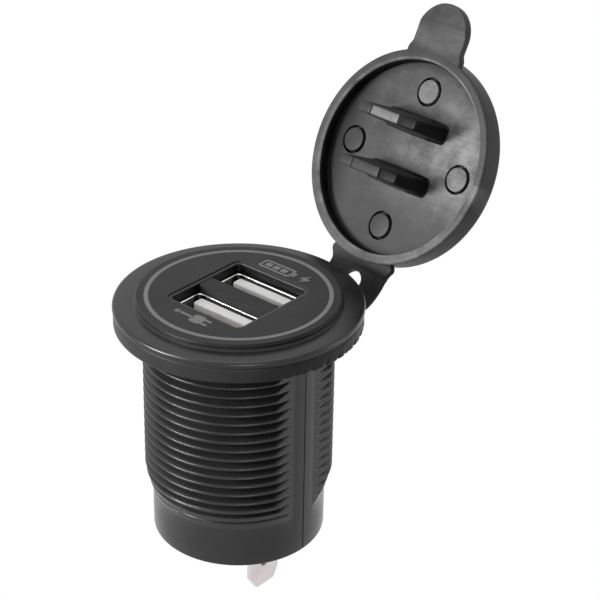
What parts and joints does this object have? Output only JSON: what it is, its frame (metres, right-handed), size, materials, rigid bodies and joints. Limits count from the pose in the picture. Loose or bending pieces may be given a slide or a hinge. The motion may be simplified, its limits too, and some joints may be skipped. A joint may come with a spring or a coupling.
{
  "type": "car dual usb socket",
  "caption": "Round panel-mount car charging socket with a threaded barrel, side-by-side USB ports, blade terminals and a soft flip cap on a strap.",
  "frame": {"origin": "on the barrel axis, in the panel face that the underside of the cap's ring lies on", "axes": "+Z out of the panel along the barrel axis; +X along the length of the port openings; +Y from the middle of the ports towards the cap's strap"},
  "size_m": [0.0385, 0.0635, 0.0835],
  "materials": {
    "housing_plastic": "satin moulded black",
    "face_plastic": "satin black",
    "overlay": "smooth dark grey film",
    "port_plastic": "satin dark grey",
    "shell_steel": "bright plated",
    "tongue_plastic": "white",
    "contact_metal": "gold plated",
    "board": "green solder mask",
    "ferrite": "dull grey",
    "capacitor_can": "sleeved can",
    "chip_plastic": "black epoxy",
    "led_lens": "clear resin",
    "wire_red": "insulation",
    "wire_black": "insulation",
    "cover_plastic": "satin black",
    "blade_metal": "tinned",
    "cap_rubber": "soft matt black"
  },
  "bodies": {
    "socket": {"housing": "housing_plastic", "face_plate": "face_plastic", "face_overlay": "overlay", "port_block": "port_plastic", "usb_shell_1": "shell_steel", "usb_shell_2": "shell_steel", "usb_tongue_1": "tongue_plastic", "usb_tongue_2": "tongue_plastic", "usb_contacts_1": "contact_metal", "usb_contacts_2": "contact_metal", "port_board": "board", "inductor": "ferrite", "capacitors": "capacitor_can", "controller_chips": "chip_plastic", "rectifier_diode": "chip_plastic", "indicator_led": "led_lens", "wire_positive": "wire_red", "wire_negative": "wire_black", "rear_cover": "cover_plastic", "blade_positive": "blade_metal", "blade_negative": "blade_metal"},
    "ring": {"cap_ring": "cap_rubber", "cap_strap": "cap_rubber"},
    "lid": {"cap_lid": "cap_rubber"}
  },
  "joints": [
    {"name": "cap_swivel", "type": "hinge", "parent": "socket", "child": "ring", "pos_m": [0, 0, 0], "axis": [0, 0, 1], "range_deg": [-1.1, 6.21]},
    {"name": "cap_hinge", "type": "hinge", "parent": "ring", "child": "lid", "pos_m": [0.00217, 0.02002, 0.00025], "axis": [0.9954, -0.0953, 0.0076], "range_deg": [-20, 118.06], "deforming": ["cap_strap"]}
  ],
  "couplings": [
    {"joint": "cap_swivel", "follows": "cap_hinge", "ratio": 0.052516}
  ]
}
